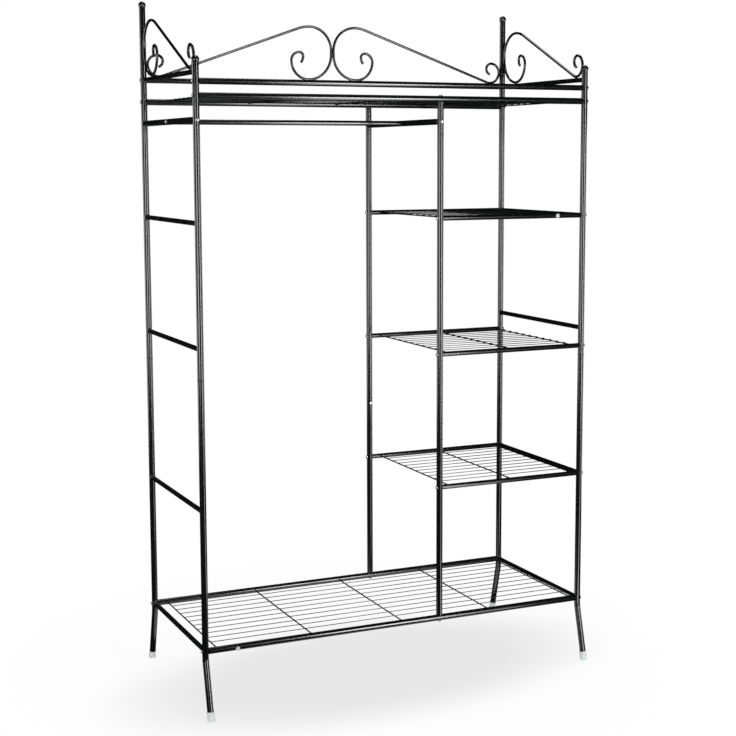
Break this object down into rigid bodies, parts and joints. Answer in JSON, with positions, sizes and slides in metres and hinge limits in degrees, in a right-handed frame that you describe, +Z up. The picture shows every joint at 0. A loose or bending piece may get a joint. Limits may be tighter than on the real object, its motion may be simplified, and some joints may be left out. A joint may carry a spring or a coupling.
{
  "type": "open clothes rack",
  "caption": "Open clothes rack of black steel tube: hanging bay, wire shelves beside it, wire base, and a railed wire tray with bent scrollwork on top.",
  "frame": {"origin": "on the floor, in the middle of the footprint", "axes": "+Z up; -Y towards the front, where the posts are short; +X towards the shelf bay"},
  "size_m": [1.0714, 0.5252, 1.7379],
  "materials": {
    "coated_steel": "satin black powder coat",
    "zinc_steel": "bright zinc plating",
    "foot_plastic": "translucent pale grey moulded plastic"
  },
  "bodies": {
    "root": {"left_front_post_upper": "coated_steel", "left_front_post_lower": "coated_steel", "left_back_post_upper": "coated_steel", "left_back_post_lower": "coated_steel", "right_front_post_upper": "coated_steel", "right_front_post_lower": "coated_steel", "right_back_post_upper": "coated_steel", "right_back_post_lower": "coated_steel", "centre_front_post_upper": "coated_steel", "centre_front_post_lower": "coated_steel", "centre_back_post_upper": "coated_steel", "centre_back_post_lower": "coated_steel", "left_front_finial": "coated_steel", "left_back_finial": "coated_steel", "right_front_finial": "coated_steel", "right_back_finial": "coated_steel", "left_base_side_rail": "coated_steel", "left_low_side_rail": "coated_steel", "left_middle_side_rail": "coated_steel", "left_high_side_rail": "coated_steel", "left_guard_side_rail": "coated_steel", "right_base_side_rail": "coated_steel", "right_low_side_rail": "coated_steel", "right_middle_side_rail": "coated_steel", "right_high_side_rail": "coated_steel", "right_guard_side_rail": "coated_steel", "left_side_scroll": "coated_steel", "right_side_scroll": "coated_steel", "back_left_scroll": "coated_steel", "back_right_scroll": "coated_steel", "front_guard_rail": "coated_steel", "back_guard_rail": "coated_steel", "tray_front_rail": "coated_steel", "tray_back_rail": "coated_steel", "tray_grid": "coated_steel", "base_front_rail": "coated_steel", "base_back_rail": "coated_steel", "base_grid": "coated_steel", "low_shelf_front_rail": "coated_steel", "low_shelf_back_rail": "coated_steel", "low_shelf_grid": "coated_steel", "middle_shelf_front_rail": "coated_steel", "middle_shelf_back_rail": "coated_steel", "middle_shelf_grid": "coated_steel", "high_shelf_front_rail": "coated_steel", "high_shelf_back_rail": "coated_steel", "high_shelf_grid": "coated_steel", "left_crossbar": "coated_steel", "centre_crossbar": "coated_steel", "clothes_rod": "coated_steel", "joint_sleeves": "coated_steel", "rail_bolts": "zinc_steel", "crossbar_bolts": "zinc_steel", "centre_post_bolts": "zinc_steel", "threaded_inserts": "zinc_steel", "left_front_foot_cap": "foot_plastic", "left_back_foot_cap": "foot_plastic", "right_front_foot_cap": "foot_plastic", "right_back_foot_cap": "foot_plastic", "rail_plugs": "foot_plastic"}
  },
  "joints": []
}
